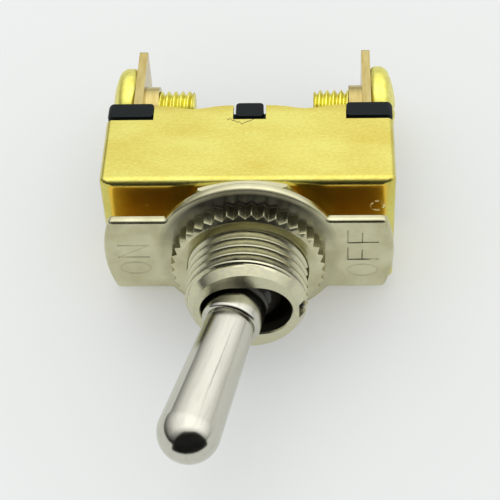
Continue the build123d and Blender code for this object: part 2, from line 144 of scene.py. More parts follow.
class SwitchSizes(bpy.types.PropertyGroup):
    """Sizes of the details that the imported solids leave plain."""

    sheet: length("Sheet", 0.6, "Thickness of the case's sheet")
    case_corner: length("Case corner", 0.65, "Radius of the case's upright corners")
    case_bend: length("Case bend", 0.8, "Radius of the bend around the case's front face")
    end_bend: length("End bend", 1.4, "Radius of that bend towards the case's two ends")
    wall_end: length("Wall end", 8.9, "Depth at which the case's walls end beside the lugs")
    mid_notch: length("Middle notch", 3.3, "Width of the notch in the middle of each long side")
    end_notch: length("End notch", 4.75, "Length of the notch at each end of a long side")
    tab_bend: length("Tab bend", 0.8, "Outer radius of a crimp tab's fold")
    tab_lip: length("Tab lip", 2.1, "Reach of a folded crimp tab over the base")
    tab_dip: length("Tab dip", 0.05, "Depth of the hollow that the crimping tool left in a tab's fold")
    tab_lift: length("Tab lift", 0.75, "Height to which a tab's fold springs back at its ends")
    tab_corner: length("Tab corner", 0.9, "Corner radius of a crimp tab")
    edge: length("Edge break", 0.07, "Rounding of stamped and moulded edges")
    thread_pitch: length("Bushing pitch", 1.0, "Pitch of the bushing's thread")
    thread_depth: length("Bushing thread depth", 0.6, "Depth of the bushing's thread")
    thread_radius: length("Bushing thread radius", 5.95, "Radius over the bushing's thread")
    bushing_chamfer: length("Bushing chamfer", 0.8, "Depth of the chamfer at the bushing's front")
    bushing_lead: length("Bushing lead", 1.15, "Length of the chamfer at the bushing's front")
    key_width: length("Key width", 1.8, "Width of the bushing's keyway")
    key_depth: length("Key depth", 0.9, "Depth of the bushing's keyway")
    mouth_length: length("Mouth length", 8.79, "Length of the bushing's oblong mouth")
    mouth_width: length("Mouth width", 6.56, "Width of the bushing's oblong mouth")
    mouth_wall: length("Mouth wall", 1.3, "Thickness of the wall round the mouth")
    mouth_edge: length("Mouth edge", 0.12, "Edge break of the mouth")
    bore_radius: length("Bore radius", 4.71, "Radius of the bushing's bore")
    flange: length("Flange", 1.2, "Thickness of the bushing's flange")
    flange_corner: length("Flange corner", 1.2, "Corner radius of the bushing's flange")
    hex_corner: length("Hex corner", 8.66, "Radius over the hex nut's corners")
    hex_face: length("Hex face", 7.2, "Radius of the hex nut's flat faces")
    hex_ridge: length("Hex ridge", 8.89, "Radius at which the cones of the hex nut's two faces meet")
    knurl_root: length("Knurl root", 7.1, "Radius inside which the face nut has no teeth")
    knurl_break: length("Knurl break", 0.2, "Edge break behind the face nut's teeth")
    plate_edge: length("Plate edge", 0.25, "Rounding of the legend plate's stamped edges")
    letter_height: length("Letter height", 3.0, "Height of the stamped letters")
    letter_width: length("Letter width", 1.65, "Width of a stamped letter")
    letter_gap: length("Letter gap", 0.75, "Gap between two stamped letters")
    stroke_width: length("Stroke width", 0.26, "Width of a stamped stroke")
    stroke_depth: length("Stroke depth", 0.1, "Depth of a stamped stroke")
    strip_edge: length("Strip edge", 0.3, "Rounding of the stamped terminals' ends")
    screw_pitch: length("Screw pitch", 0.75, "Pitch of the terminal screws' thread")
    screw_depth: length("Screw thread depth", 0.45, "Depth of the terminal screws' thread")
    screw_radius: length("Screw radius", 2.0, "Radius over the terminal screws' thread")
    head_height: length("Head height", 2.7, "Height of a terminal screw's head")
    head_rim: length("Head rim", 0.9, "Height of the straight rim of a screw's head")
    head_round: length("Head rounding", 1.1, "Rounding between a screw head's rim and its dome")
    slot_width: length("Slot width", 1.0, "Width of the driver slot")
    slot_depth: length("Slot depth", 1.1, "Depth of the driver slot")
    neck_radius: length("Neck radius", 2.88, "Radius of the lever's neck")
    shoulder_at: length("Shoulder", 6.05, "Distance of the neck's shoulder from the pivot")
    shoulder_round: length("Shoulder rounding", 0.35, "Rounding of the neck's shoulder")
    groove_radius: length("Groove radius", 2.3, "Radius of the groove below the handle")
    groove_width: length("Groove width", 0.2, "Width of the groove below the handle")
    handle_root: length("Handle root", 2.42, "Radius of the handle at the groove")
    handle_tip: length("Handle tip", 2.94, "Radius of the handle's round tip")
    handle_end: length("Handle end", 21.84, "Distance of the handle's end from the pivot")
    ball_radius: length("Ball radius", 3.92, "Radius of the lever's ball")
    tail_radius: length("Tail radius", 2.2, "Radius of the lever's tail")
    tail_length: length("Tail length", 8.6, "Reach of the lever's tail behind the pivot")
    steps: IntProperty(name="Steps", description="Steps in a turned piece's full turn", default=124, min=24)


class SwitchFinish(bpy.types.PropertyGroup):
    """Colours of the materials."""

    gold: colour("Gold plate", "#d6d072", "Bright brass plate on the case")
    gold_worn: colour("Worn gold", "#cab957", "Handled brass plate on the case")
    # Painted reflection: a deeper orange gold for the case's front face, standing in for the dim warm surroundings
    # it mirrors
    gold_front_shade: colour("Deep gold", "#eec043", "Tarnished brass plate behind the legend plate")
    # Painted shade on the crimp tabs' folds: a darker brass that stands in for the dim room mirrored by the
    # rounded fold
    fold: colour("Fold", "#a98a2c", "Brass plate darkened by the crimping tool")
    crack: colour("Crack", "#6b4a0c", "Open cracks and pits in the plate")
    flake: colour("Flake", "#f6ecb4", "Lifted edge of a flake in the plate")
    nickel: colour("Nickel", "#cecbaa", "Nickel plate on the nuts and the legend plate")
    nickel_dull: colour("Dull nickel", "#bab692", "Handled nickel plate")
    cast: colour("Cast nickel", "#c6c4ab", "Nickel plate on the die-cast bushing")
    turned: colour("Turned nickel", "#c7c6b9", "Nickel plate on the turned lever")
    phenolic: colour("Phenolic", "#0f1719", "Moulded black base")
    strip: colour("Brass strip", "#c3b478", "Stamped brass of the terminals")
    screw: colour("Brass screw", "#eeea7c", "Bright brass of the terminal screws")
    # Painted shade: this dark dull colour stands in for the shade on the lever's ball, in the bushing's bore and
    # thread, and on the plate above the face nut; it also darkens the stamped strokes and a real scratch on the
    # lever
    grease: colour("Grease", "#23221c", "Old grease on the ball and inside the bushing")
    fibre: colour("Fibre", "#6b4630", "Vulcanised fibre of the liner")
    nylon: colour("Nylon", "#e2dfd2", "Moulded nylon of the plunger")
    copper: colour("Copper", "#c98654", "Stamped copper of the rocker")
    silver: colour("Silver", "#e4e3de", "Silver of the contacts")
    steel: colour("Steel", "#b9b9b6", "Ground and drawn steel")
    floor: colour("Floor", "#eceeed", "Pale studio floor")


def sizes_mm():
    """The sizes as plain numbers, lengths in millimetres."""
    group = bpy.context.scene.switch_sizes
    lengths = {key: getattr(group, key) / MM for key in SwitchSizes.__annotations__ if key != "steps"}
    return SimpleNamespace(steps=group.steps, **lengths)


def lever_place():
    """The lever's lean at rest, half its throw, and its pivot in millimetres."""
    return radians(LEVER_JOINT["range_deg"][1]) / 2, Vector(LEVER_JOINT["pos_m"]) / MM


# Mesh helpers, in millimetres


def bevel(bm, geom, width, segments):
    """Round edges."""
    bmesh.ops.bevel(
        bm, geom=geom, offset=width, affect="EDGES", segments=segments, profile=0.5, material=-1,
        clamp_overlap=True,
    )


def round_off(bm, width, segments, angle):
    """Round every edge that is sharper than the angle, in degrees."""
    sharp = [e for e in bm.edges if len(e.link_faces) == 2 and e.calc_face_angle() > radians(angle)]
    bevel(bm, sharp, width, segments)


def solid_copy(node):
    """A node's mesh with its loose triangles merged, flat faces whole, in millimetres."""
    bm = bmesh.new()
    bm.from_mesh(NODES[node].data)
    bmesh.ops.scale(bm, vec=Vector((1, 1, 1)) / MM, verts=bm.verts)
    bmesh.ops.remove_doubles(bm, verts=bm.verts, dist=0.0005)
    bmesh.ops.dissolve_limit(bm, angle_limit=radians(1), verts=bm.verts, edges=bm.edges, delimit=set())
    return bm


def only(geom, kind):
    """The vertices, edges or faces among an operator's results."""
    return [g for g in geom if isinstance(g, kind)]


def outward(bm):
    """Turn every face outwards."""
    bmesh.ops.recalc_face_normals(bm, faces=bm.faces)


def cut_across(bm, point, normal):
    """Cut every face along a plane."""
    geom = bm.verts[:] + bm.edges[:] + bm.faces[:]
    bmesh.ops.bisect_plane(bm, geom=geom, dist=0.0001, plane_co=point, plane_no=normal)


def spin(bm, geom, steps, angle, centre=(0, 0, 0), axis=(0, 1, 0), rise=(0, 0, 0), full=False):
    """Turn geometry about an axis, its ends merged on a full turn, and return the last copy."""
    return bmesh.ops.spin(
        bm, geom=geom, cent=centre, axis=axis, dvec=rise, angle=angle, steps=steps, use_merge=full,
        use_duplicate=False,
    )["geom_last"]


def polyline(bm, points):
    """Vertices and edges along these points."""
    verts = [bm.verts.new(p) for p in points]
    edges = [bm.edges.new(pair) for pair in zip(verts, verts[1:])]
    return verts, edges


def loop(bm, radius, y, steps, spread_x=0.0, spread_z=0.0):
    """A circle square to Y, its quarters spread apart to a slot or a rounded rectangle."""
    turn = Matrix.Translation((0, y, 0)) @ Matrix.Rotation(pi / 2, 4, "X")
    verts = bmesh.ops.create_circle(bm, segments=steps, radius=radius, matrix=turn)["verts"]
    for v in verts:
        v.co.x += spread_x * ((v.co.x > radius / steps) - (v.co.x < -radius / steps))
        v.co.z += spread_z * ((v.co.z > radius / steps) - (v.co.z < -radius / steps))
    return list({e for v in verts for e in v.link_edges})


def bridge(bm, first, second):
    """Join two loops of edges with faces."""
    bmesh.ops.bridge_loops(bm, edges=first + second)


def pull(bm, edges, offset):
    """Extrude a loop of edges and return the new loop."""
    made = bmesh.ops.extrude_edge_only(bm, edges=edges)["geom"]
    verts = only(made, bmesh.types.BMVert)
    bmesh.ops.translate(bm, vec=offset, verts=verts)
    return [e for e in only(made, bmesh.types.BMEdge) if set(e.verts) <= set(verts)]


def raise_faces(bm, faces, offset):
    """Extrude a patch of faces and return the moved patch."""
    made = bmesh.ops.extrude_face_region(bm, geom=faces)["geom"]
    bmesh.ops.delete(bm, geom=faces, context="FACES")
    bmesh.ops.translate(bm, vec=offset, verts=only(made, bmesh.types.BMVert))
    return only(made, bmesh.types.BMFace)


def thread(bm, crest, depth, pitch, start, end, chamfer, lead, steps, cuts, phase=0.0):
    """A helical thread round Y from start to the smaller end, where it runs out on a cone."""
    root = crest - depth
    rise = [(root + depth * i / cuts, ROOT_FLAT + FLANK * i / cuts) for i in range(cuts + 1)]
    profile = [(root, 0.0), *rise, *[(r, 1 - t) for r, t in reversed(rise)], (root, 1.0)]
    verts, edges = polyline(bm, [(r, start + pitch * (1 - t + phase), 0) for r, t in profile])
    turns = int((start - end) / pitch) + 3
    spin(bm, verts + edges, steps * turns, 2 * pi * turns, rise=(0, -pitch / steps, 0))
    bmesh.ops.remove_doubles(bm, verts=bm.verts, dist=0.001)
    for v in bm.verts:
        y = min(max(v.co.y, end), start)
        cone = min(crest, crest - chamfer + chamfer / lead * (y - end))
        radius = hypot(v.co.x, v.co.z)
        cut = min(max((y - end - PLAIN_CONE * lead) / (RISING_CONE * lead), 0), 1)
        wanted = root if v.co.y >= start else cone - cut * (crest - radius)
        v.co = (v.co.x * wanted / radius, y, v.co.z * wanted / radius)
    bmesh.ops.remove_doubles(bm, verts=bm.verts, dist=0.002)
    bmesh.ops.dissolve_degenerate(bm, edges=bm.edges, dist=0.001)


def rim_at(bm, y):
    """The open edges at this Y."""
    return [e for e in bm.edges if e.is_boundary and all(abs(v.co.y - y) < TOUCH for v in e.verts)]


def lathe(bm, points, steps):
    """Turn a profile of (radius, distance) round Y."""
    verts, edges = polyline(bm, [(r, s, 0) for r, s in points])
    spin(bm, verts + edges, steps, 2 * pi, full=True)
    bmesh.ops.remove_doubles(bm, verts=bm.verts, dist=0.0005)
    outward(bm)


def arc(centre, radius, first, last, count):
    """Points of an arc, angles in degrees, as (radius, distance) pairs."""
    angles = [radians(first + (last - first) * i / count) for i in range(count + 1)]
    return [(centre[0] + radius * cos(a), centre[1] + radius * sin(a)) for a in angles]


def mesh_object(name, bm):
    """An object in metres at the origin from a bmesh in millimetres."""
    bmesh.ops.scale(bm, vec=(MM, MM, MM), verts=bm.verts)
    mesh = bpy.data.meshes.new(name)
    bm.to_mesh(mesh)
    bm.free()
    obj = bpy.data.objects.new(name, mesh)
    bpy.context.scene.collection.objects.link(obj)
    return obj


def apply_modifiers(obj):
    """Bake an object's modifiers into its mesh."""
    evaluated = obj.evaluated_get(bpy.context.evaluated_depsgraph_get())
    mesh = bpy.data.meshes.new_from_object(evaluated)
    obj.modifiers.clear()
    old = obj.data
    obj.data = mesh
    mesh.name = obj.name
    bpy.data.meshes.remove(old)


def carve(obj, tool, operation="DIFFERENCE"):
    """Cut one mesh with another, which is then thrown away."""
    cutter = mesh_object("cutter", tool)
    cut = obj.modifiers.new("Cut", "BOOLEAN")
    cut.operation = operation
    cut.solver = "EXACT"
    cut.use_self = True
    cut.object = cutter
    apply_modifiers(obj)
    bpy.data.meshes.remove(cutter.data)


def fit_piece(obj, node, material, smooth=32.0):
    """Finish a piece: its material and shading, on the body and in the place of its node."""
    if not len(obj.data.polygons):
        raise RuntimeError(f"{obj.name} has no faces")
    obj.data.materials.clear()
    obj.data.materials.append(material)
    obj.data.shade_smooth()
    obj.data.set_sharp_from_angle(angle=radians(smooth))
    weighted = obj.modifiers.new("Flat faces stay flat", "WEIGHTED_NORMAL")
    weighted.keep_sharp = True
    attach(obj, BODY[node])
    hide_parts(node)


# Materials


def add(tree, kind, inputs=(), **settings):
    """Add a node with its settings, its input values and its links; a node as an input gives its output."""
    node = tree.nodes.new("ShaderNode" + kind)
    for key, value in settings.items():
        setattr(node, key, value)
    for key, value in dict(inputs).items():
        if isinstance(value, bpy.types.Node):
            value = next(socket for socket in value.outputs if socket.enabled)
        if isinstance(value, bpy.types.NodeSocket):
            tree.links.new(value, node.inputs[key])
        else:
            node.inputs[key].default_value = value
    return node


def surface(name):
    """A new material with its empty tree and Object coordinates in millimetres."""
    material = bpy.data.materials.get(name) or bpy.data.materials.new(name)
    material.use_nodes = True
    tree = material.node_tree
    tree.nodes.clear()
    place = add(tree, "TexCoord").outputs["Object"]
    return material, tree, add(tree, "Mapping", {"Vector": place, "Scale": [1 / MM] * 3})


def finished(material, look):
    """The material with its shader, whose inputs the look gives."""
    shader = add(material.node_tree, "BsdfPrincipled", look)
    add(material.node_tree, "OutputMaterial", {"Surface": shader})
    return material


def shade(tone, *factors):
    """A darker tone, by one factor or by one each for red, green and blue."""
    red, green, blue = factors if len(factors) == 3 else factors * 3
    return tone[0] * red, tone[1] * green, tone[2] * blue, 1.0


def noise(tree, vector, grain_mm, detail=3.0, stretch=(1.0, 1.0, 1.0)):
    """Noise whose lumps are about grain_mm across, longer along an axis where stretch is above 1."""
    scale = [1 / (grain_mm * s) for s in stretch]
    placed = add(tree, "Mapping", {"Vector": vector, "Scale": scale})
    return add(tree, "TexNoise", {"Vector": placed, "Scale": 1.0, "Detail": detail})


def weathered(tree, mottle, tones, patches, rough, grain=None, height_mm=0.0, span=(0.35, 0.65)):
    """A look that mottles between two tones, with its roughness in patches and a raised grain."""
    ramp = add(tree, "ValToRGB", {"Fac": mottle})
    for element, position, tone in zip(ramp.color_ramp.elements, span, tones):
        element.position = position
        element.color = tone
    spread = {"Value": patches, "To Min": rough[0], "To Max": rough[1]}
    look = {"Base Color": ramp, "Roughness": add(tree, "MapRange", spread)}
    if grain:
        bump = {"Height": grain, "Distance": height_mm * MM, "Strength": 1.0}
        look["Normal"] = add(tree, "Bump", bump)
    return look


def near(tree, value, centre, reach):
    """1 where the value lies within reach of the centre, falling to 0 at its edge."""
    away = add(tree, "Math", {0: value, 1: centre}, operation="SUBTRACT")
    size = add(tree, "Math", {0: away}, operation="ABSOLUTE")
    fall = {"Value": size, "From Max": reach, "To Min": 1.0, "To Max": 0.0}
    return add(tree, "MapRange", fall)


def ring_mask(tree, place, point, radius, width):
    """1 on a ring round a point, or on a spot where the radius is 0."""
    away = add(tree, "VectorMath", {0: place, 1: point}, operation="DISTANCE")
    return near(tree, away, radius, width)


def from_axis(tree, x, z):
    """Distance from the bushing's axis."""
    flat = add(tree, "CombineXYZ", {"X": x, "Z": z})
    return add(tree, "VectorMath", {0: flat}, operation="LENGTH")


def product(tree, *factors):
    """The product of several factors."""
    total = factors[0]
    for factor in factors[1:]:
        total = add(tree, "Math", {0: total, 1: factor}, operation="MULTIPLY")
    return total


def crack_mask(tree, place):
    """A ragged V-shaped crack in the plate below the middle notch, on the +Z side."""
    x, y, z = add(tree, "SeparateXYZ", {"Vector": place}).outputs
    ragged = noise(tree, place, 0.4, 3.0, (1.0, 1000.0, 1000.0))
    run = add(tree, "Math", {0: x, 1: CRACK_X}, operation="SUBTRACT")
    rise = add(tree, "Math", {0: run}, operation="ABSOLUTE")
    line = add(tree, "Math", {0: rise, 1: CRACK_SLOPE, 2: CRACK_Y}, operation="MULTIPLY_ADD")
    bent = add(tree, "Math", {0: ragged, 1: CRACK_WANDER, 2: line}, operation="MULTIPLY_ADD")
    off = add(tree, "Math", {0: y, 1: bent}, operation="SUBTRACT")
    inside = add(tree, "Math", {0: rise, 1: CRACK_REACH}, operation="LESS_THAN")
    outer = box_mm("case")[1].z - SKIN
    side = add(tree, "Math", {0: z, 1: outer}, operation="GREATER_THAN")
    return product(tree, near(tree, off, 0.0, CRACK_WIDTH), inside, side)


def gold_plated_steel():
    """Drawn steel sheet with bright brass plate: a satin mirror with a fine grain drawn along the case."""
    finish = bpy.context.scene.switch_finish
    fold_end = box_mm("case")[1].y
    material, tree, place = surface("Brass-plated drawn steel")
    cloudy = noise(tree, place, 4.0, 9.0, (2.0, 1.0, 1.0))
    speckle = noise(tree, place, 0.25, 2.0, (1.6, 1.0, 1.0))
    mottle = add(tree, "Math", {0: speckle, 1: 0.6, 2: cloudy}, operation="MULTIPLY_ADD")
    # Rolling grain is near 0.02 mm, drawn coarser so that it shows
    grain = noise(tree, place, 0.22, 2.0, (2.0, 1.0, 1.0))
    look = weathered(
        tree, mottle, (finish.gold_worn, finish.gold), noise(tree, place, 1.5, 4.0), (0.2, 0.3), grain, 0.01,
        (0.55, 0.95),
    )
    y = add(tree, "SeparateXYZ", {"Vector": place}).outputs["Y"]
    # Painted shade: the plate grows darker towards the folds' rounded edge, standing in for the dim room that the
    # turned-back bend mirrors
    fold = {"Value": y, "From Min": fold_end - 1.5, "From Max": fold_end + 0.1, "To Max": 0.5}
    fold_shade = add(tree, "MapRange", fold)
    # Painted reflection: the front face alone, up to the first degrees of the bend round it, takes a deeper orange
    # gold that stands in for the dim, warm surroundings it mirrors
    facing = add(tree, "TexCoord").outputs["Normal"]
    turned = add(tree, "SeparateXYZ", {"Vector": facing}).outputs["Y"]
    front = add(tree, "MapRange", {"Value": turned, "From Min": -0.96, "From Max": -0.995})
    pit = ring_mask(tree, place, PIT, 0.0, PIT_RADIUS)
    broken = add(tree, "Math", {0: noise(tree, place, 0.5, 2.0), 1: 0.46}, operation="GREATER_THAN")
    curl = product(tree, ring_mask(tree, place, FLAKE, FLAKE_RADIUS, FLAKE_EDGE), broken)
    crack = add(tree, "Math", {0: crack_mask(tree, place), 1: pit}, operation="MAXIMUM")
    layers = ((fold_shade, finish.fold), (front, finish.gold_front_shade), (crack, finish.crack), (curl, finish.flake))
    for mask, tone in layers:
        mix = {0: mask, 6: look["Base Color"], 7: tone}
        look["Base Color"] = add(tree, "Mix", mix, data_type="RGBA")
    # A lifted flake and a dark pit no longer mirror the room
    dull = add(tree, "Math", {0: crack, 1: curl}, operation="MAXIMUM")
    look["Metallic"] = add(tree, "Math", {0: 1.0, 1: dull}, operation="SUBTRACT")
    return finished(material, look)


def shaded_and_worn(tree, look, mask):
    """The look of a metal under a dull dark colour where the mask says: painted shade, and real wear such as a
    scratch.
    """
    grease = bpy.context.scene.switch_finish.grease
    mix = {0: mask, 6: look["Base Color"], 7: grease}
    colour_mix = add(tree, "Mix", mix, data_type="RGBA")
    bare = add(tree, "Math", {0: 1.0, 1: mask}, operation="SUBTRACT")
    return look | {"Base Color": colour_mix, "Metallic": bare}


def nickel_plate():
    """Stamped brass with dull nickel plate: a soft grey mirror, a little yellow, with a fine grain."""
    finish = bpy.context.scene.switch_finish
    front = box_mm("legend_plate")[0].y
    disc = box_mm("legend_plate")[1].z
    material, tree, place = surface("Nickel-plated brass, stamped")
    look = weathered(
        tree, noise(tree, place, 2.5, 8.0), (finish.nickel_dull, finish.nickel),
        noise(tree, place, 0.8, 4.0), (0.2, 0.28), noise(tree, place, 0.12, 2.0), 0.003,
    )
    x, y, z = add(tree, "SeparateXYZ", {"Vector": place}).outputs
    reach = add(tree, "Math", {0: x}, operation="ABSOLUTE")
    sunk = near(tree, y, front + 0.22, 0.2)
    word = product(tree, sunk, near(tree, reach, 11.4, 2.2), near(tree, z, 0.2, 4.2))
    deep = add(tree, "Math", {0: word, 1: 0.0}, operation="GREATER_THAN")
    rim = {"Value": from_axis(tree, x, z), "From Min": disc, "From Max": disc - 0.75}
    upper = {"Value": z, "From Min": 1.0, "From Max": 7.0, "To Min": 0.1}
    # Painted shade: the plate's rim above the face nut is darker, standing in for the nut's shadow and the dark
    # front that the plate mirrors; the stamped strokes are also made a little darker
    shade_above_nut = product(
        tree, add(tree, "MapRange", rim), add(tree, "MapRange", upper),
        near(tree, y, front, 0.3),
    )
    dark_strokes_and_shade = add(tree, "Math", {0: deep, 1: 0.1, 2: shade_above_nut}, operation="MULTIPLY_ADD")
    return finished(material, shaded_and_worn(tree, look, dark_strokes_and_shade))


def nickel_plated_zinc():
    """Die-cast zinc with nickel plate: as the nuts, a little brighter and with softer lumps."""
    finish = bpy.context.scene.switch_finish
    s = sizes_mm()
    front = box_mm("bushing")[0].y
    root = s.thread_radius - s.thread_depth
    material, tree, place = surface("Nickel-plated die-cast zinc")
    look = weathered(
        tree, noise(tree, place, 0.4, 6.0), (finish.nickel, finish.cast),
        noise(tree, place, 0.6, 4.0), (0.18, 0.28), noise(tree, place, 0.35, 2.0), 0.006,
    )
    x, y, z = add(tree, "SeparateXYZ", {"Vector": place}).outputs
    radius = from_axis(tree, x, z)
    # Painted shade: the bore behind the mouth takes the dark dull colour
    inside = add(tree, "Math", {0: radius, 1: s.bore_radius + 0.1}, operation="LESS_THAN")
    lip = front + s.mouth_edge + 0.05
    bore = product(tree, inside, add(tree, "Math", {0: y, 1: lip}, operation="GREATER_THAN"))
    # Painted shade: the bottom of the thread is darker, and more so near the front
    groove = {"Value": radius, "From Min": s.thread_radius - 0.15, "From Max": root}
    darker_near_front = {"Value": y, "From Min": front + 2.6, "From Max": front + 2.0, "To Min": 1.0, "To Max": 2.4}
    thread_root_shade = product(
        tree, add(tree, "MapRange", groove),
        add(tree, "Math", {0: y, 1: front + s.bushing_lead}, operation="GREATER_THAN"),
        noise(tree, place, 0.6, 5.0), add(tree, "MapRange", darker_near_front),
    )
    dark = add(tree, "Math", {0: bore, 1: thread_root_shade}, operation="MAXIMUM")
    return finished(material, shaded_and_worn(tree, look, dark))


def turned_nickel():
    """Turned brass with bright nickel plate: a clear mirror with faint lines along the handle."""
    tone = bpy.context.scene.switch_finish.turned
    ball = sizes_mm().ball_radius
    lean, pivot = lever_place()
    material, tree, place = surface("Nickel-plated brass, turned")
    along = add(tree, "Mapping", {"Vector": place, "Rotation": (0, 0, lean)})
    look = weathered(
        tree, noise(tree, along, 0.5, 4.0, (1.0, 9.0, 1.0)), (shade(tone, 0.88), tone),
        noise(tree, along, 0.5, 4.0, (1.0, 6.0, 1.0)), (0.12, 0.2),
        noise(tree, along, 0.2, 2.0, (1.0, 12.0, 1.0)), 0.002, (0.25, 0.5),
    )
    # Painted shade: the ball, deep inside the bushing, takes the dark dull colour
    away = add(tree, "VectorMath", {0: place, 1: pivot}, operation="DISTANCE")
    ball_shade = add(tree, "MapRange", {"Value": away, "From Min": ball + 0.6, "From Max": ball})
    x, y, z = add(tree, "SeparateXYZ", {"Vector": along}).outputs
    # A ragged scratch runs along the handle's upper side
    wander = noise(tree, along, 2.0, 4.0, (1000.0, 1.0, 1000.0))
    run = add(tree, "Math", {0: wander, 1: 0.35, 2: SCRATCH_X}, operation="MULTIPLY_ADD")
    off = add(tree, "Math", {0: x, 1: run}, operation="SUBTRACT")
    scratch = product(
        tree, near(tree, off, 0.0, SCRATCH_WIDTH),
        add(tree, "Math", {0: z, 1: 1.0}, operation="GREATER_THAN"),
        near(tree, y, SCRATCH_Y, SCRATCH_REACH), noise(tree, along, 1.0, 4.0), 0.8,
    )
    dull = add(tree, "Math", {0: ball_shade, 1: scratch}, operation="MAXIMUM")
    return finished(material, shaded_and_worn(tree, look, dull))


def black_phenolic():
    """Moulded phenolic: black with a blue cast, satin, with a fine powdery grain."""
    tone = bpy.context.scene.switch_finish.phenolic
    material, tree, place = surface("Black phenolic, moulded")
    look = weathered(
        tree, noise(tree, place, 0.25, 3.0), (shade(tone, 0.7), tone),
        noise(tree, place, 0.6, 3.0), (0.42, 0.56), noise(tree, place, 0.2, 3.0), 0.01,
    )
    return finished(material, look | {"Specular IOR Level": 0.15})


def brass_strip():
    """Stamped brass strip: warm yellow, with rolling lines along its length."""
    tone = bpy.context.scene.switch_finish.strip
    material, tree, place = surface("Brass strip, stamped")
    look = weathered(
        tree, noise(tree, place, 0.5, 4.0, (1.0, 6.0, 1.0)), (shade(tone, 0.86, 0.8, 0.7), tone),
        noise(tree, place, 0.7, 4.0), (0.16, 0.28), noise(tree, place, 0.12, 2.0, (1.0, 10.0, 1.0)), 0.004,
    )
    return finished(material, look | {"Metallic": 1.0})


def brass_screw():
    """Turned brass: bright lemon yellow with a clear shine."""
    tone = bpy.context.scene.switch_finish.screw
    material, tree, place = surface("Bright brass, turned")
    look = weathered(
        tree, noise(tree, place, 0.7, 4.0), (shade(tone, 0.88, 0.82, 0.7), tone),
        noise(tree, place, 0.5, 4.0), (0.3, 0.42), noise(tree, place, 0.15, 2.0), 0.003,
    )
    return finished(material, look | {"Metallic": 1.0})


def inner_metal(name, tone, rough, grain_mm):
    """Plain working metal inside the case: cleaned, not polished."""
    material, tree, place = surface(name)
    look = weathered(
        tree, noise(tree, place, grain_mm, 4.0), (shade(tone, 0.75), tone),
        noise(tree, place, grain_mm / 2, 4.0), (rough, rough + 0.15),
    )
    return finished(material, look | {"Metallic": 1.0})


def inner_plastic(name, tone, rough, grain_mm):
    """Fibre or nylon inside the case: dull, with a slight mottle."""
    material, tree, place = surface(name)
    look = weathered(
        tree, noise(tree, place, grain_mm, 4.0), (shade(tone, 0.8), tone),
        noise(tree, place, grain_mm / 2, 4.0), (rough, rough + 0.15),
    )
    return finished(material, look)


# Pieces


class SWITCH_OT_case(bpy.types.Operator):
    """Draw the case from one sheet, with soft bends and folded crimp tabs"""

    bl_idname = "switch.case"
    bl_label = "Case"

    def execute(self, context):
        s = sizes_mm()
        high = box_mm("case")[1]
        bm = bmesh.new()
        outer = self.skin(bm, high, 0)
        inner = self.skin(bm, high, s.sheet)
        bridge(bm, outer[0], inner[0])
        bridge(bm, outer[1], inner[1])
        tab_inner = s.mid_notch / 2
        tab_outer = high.x - s.end_notch
        cuts = [tab_inner + (tab_outer - tab_inner) * i / TAB_CUTS for i in range(TAB_CUTS + 1)]
        for x in cuts + [-x for x in cuts]:
            cut_across(bm, (x, 0, 0), (1, 0, 0))
        outward(bm)
        for side in (1, -1):
            for hand in (1, -1):
                self.tab(bm, side, hand, tab_inner, tab_outer, high)
        middle = (tab_inner + tab_outer) / 2
        for v in bm.verts:
            if v.co.y > s.wall_end + TOUCH:
                hollow = exp(-(((abs(v.co.x) - middle) / (middle / 3)) ** 2))
                raised = (1 - hollow) * s.tab_lift - hollow * s.tab_dip
                v.co.y += raised * (v.co.y - s.wall_end) / (high.y - s.wall_end)
        outward(bm)
        round_off(bm, s.edge, 2, 60)
        fit_piece(mesh_object("drawn_case", bm), "case", gold_plated_steel())
        return {"FINISHED"}

    def skin(self, bm, high, depth):
        """One skin of the drawn cup, from the bushing's hole to the walls' end: its first and last loops."""
        s = sizes_mm()
        half_x = high.x - depth
        half_z = high.z - depth
        corner = s.case_corner
        bend = s.case_bend - depth
        longer = s.end_bend / s.case_bend
        steps = CORNER_STEPS * 4
        rings = [loop(bm, s.thread_radius, depth + HAIR, steps)]
        for i in range(BEND_STEPS + 1):
            turned = pi / 2 * i / BEND_STEPS
            inset = bend * (1 - sin(turned))
            radius = corner * (1 + sin(turned)) / 2
            y = depth + bend * (1 - cos(turned))
            spread_x = half_x - inset * longer - radius
            rings.append(loop(bm, radius, y, steps, spread_x, half_z - inset - radius))
        end = s.wall_end - HAIR * (depth > 0)
        rings.append(loop(bm, corner, end, steps, half_x - corner, half_z - corner))
        for first, second in zip(rings, rings[1:]):
            bridge(bm, first, second)
        return rings[0], rings[-1]

    def tab(self, bm, side, hand, inner, outer, high):
        """Raise one crimp tab from the walls' end and fold it over the base."""
        s = sizes_mm()
        wall = high.z - 2 * s.sheet
        rim = [
            f
            for f in bm.faces
            if all(abs(v.co.y - s.wall_end) < TOUCH and side * v.co.z > wall for v in f.verts)
            and all(inner - TOUCH < hand * v.co.x < outer + TOUCH for v in f.verts)
        ]
        rim = raise_faces(bm, rim, (0, high.y - s.tab_bend - s.wall_end, 0))
        fold = (0, high.y - s.tab_bend, side * (high.z - s.tab_bend))
        made = spin(bm, rim, BEND_STEPS, pi / 2, centre=fold, axis=(side, 0, 0))
        bmesh.ops.delete(bm, geom=rim, context="FACES")
        rim = raise_faces(bm, only(made, bmesh.types.BMFace), (0, 0, -side * (s.tab_lip - s.tab_bend)))
        verts = {v for f in rim for v in f.verts}
        ends = (min(v.co.x for v in verts), max(v.co.x for v in verts))
        corners = [
            e
            for e in {e for v in verts for e in v.link_edges}
            if set(e.verts) <= verts and any(all(abs(v.co.x - x) < 0.001 for v in e.verts) for x in ends)
        ]
        bevel(bm, corners, s.tab_corner, 5)


class SWITCH_OT_base(bpy.types.Operator):
    """Soften the edges of the moulded base"""

    bl_idname = "switch.base"
    bl_label = "Base"

    def execute(self, context):
        bm = solid_copy("base")
        round_off(bm, sizes_mm().edge, 2, 40)
        fit_piece(mesh_object("moulded_base", bm), "base", black_phenolic())
        return {"FINISHED"}


